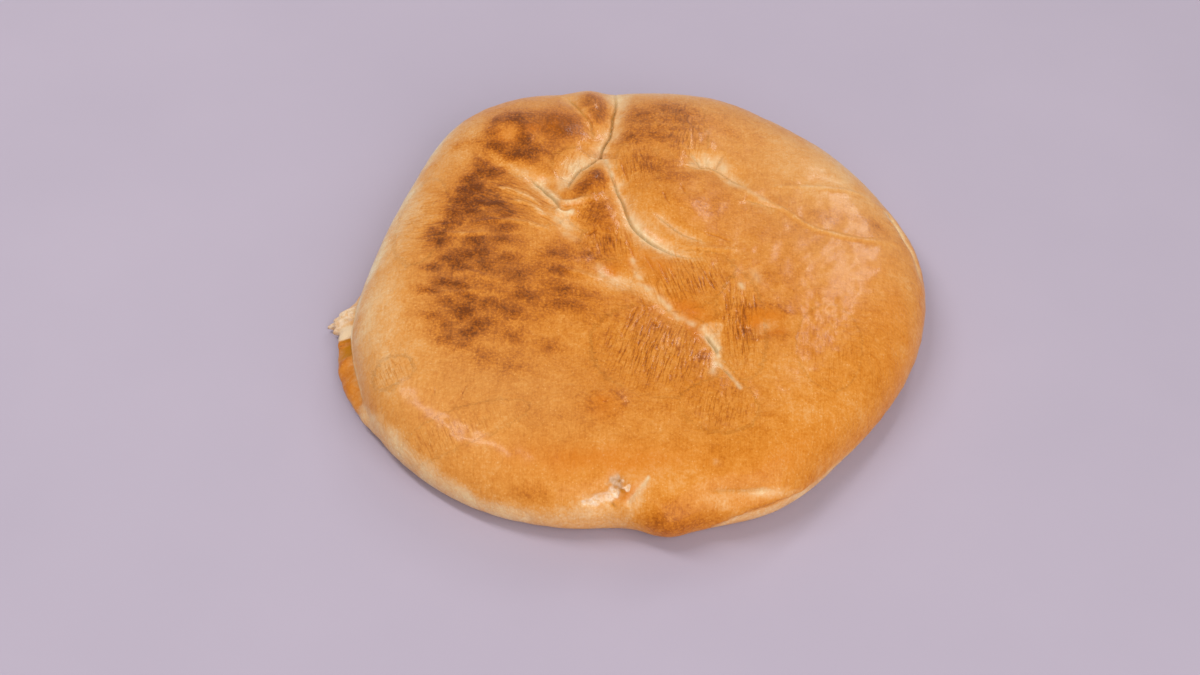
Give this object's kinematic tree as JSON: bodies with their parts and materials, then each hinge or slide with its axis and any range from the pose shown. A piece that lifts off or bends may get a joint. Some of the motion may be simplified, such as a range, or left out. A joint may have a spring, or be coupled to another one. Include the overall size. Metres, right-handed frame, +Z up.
{
  "type": "pogacha bread",
  "caption": "Round uncut loaf of flat wheat bread with a rounded rim, folds and blisters on a golden, partly toasted crust and a small torn seam at one side.",
  "frame": {"origin": "middle of the loaf's flat base", "axes": "+Z up out of the crust; -Y is the side with the front blister, +X the right side seen from there"},
  "size_m": [0.28, 0.2751, 0.0379],
  "materials": {
    "crust": "satin"
  },
  "bodies": {
    "root": {"bread": "crust"}
  },
  "joints": []
}
